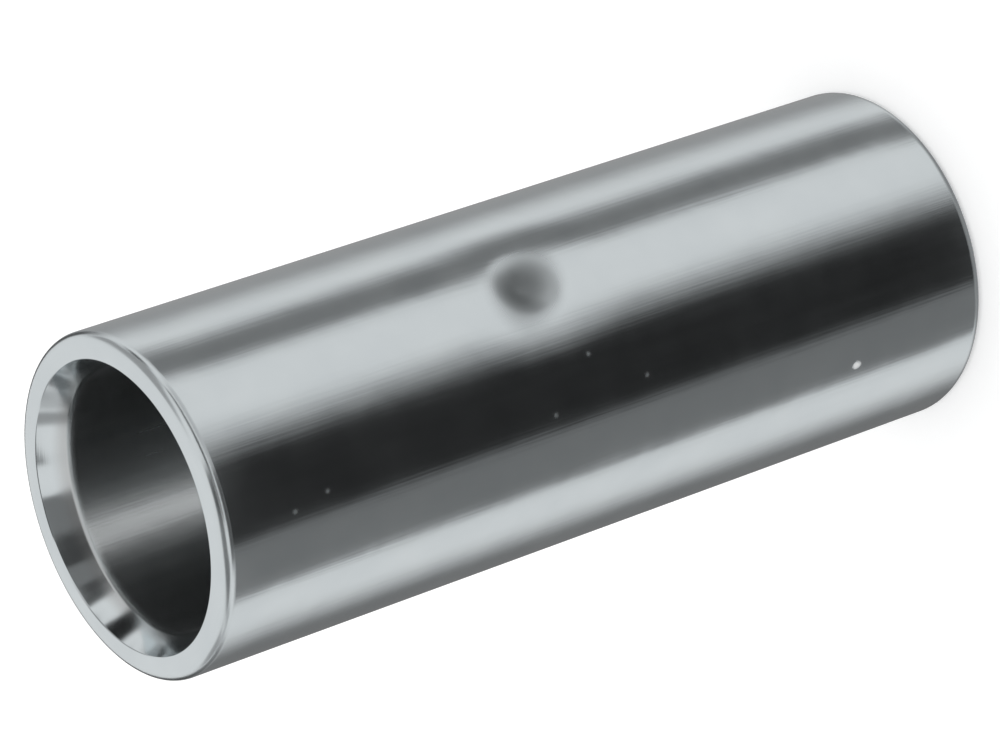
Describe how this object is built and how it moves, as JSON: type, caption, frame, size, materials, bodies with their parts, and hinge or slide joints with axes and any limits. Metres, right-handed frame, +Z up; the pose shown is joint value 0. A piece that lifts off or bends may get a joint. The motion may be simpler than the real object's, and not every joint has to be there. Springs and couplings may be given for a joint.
{
  "type": "butt splice connector",
  "caption": "Open seamless metal sleeve that joins two stranded cables end to end, with flared mouths and a pressed wire stop near the middle.",
  "frame": {"origin": "centre of the lower end face, on the bore axis", "axes": "+Z up the bore axis, -Y towards the pressed wire stop dimple"},
  "size_m": [0.0142, 0.0142, 0.0386],
  "materials": {
    "tinned_copper": "satin tin plate over copper"
  },
  "bodies": {
    "root": {"splice_barrel": "tinned_copper"}
  },
  "joints": []
}
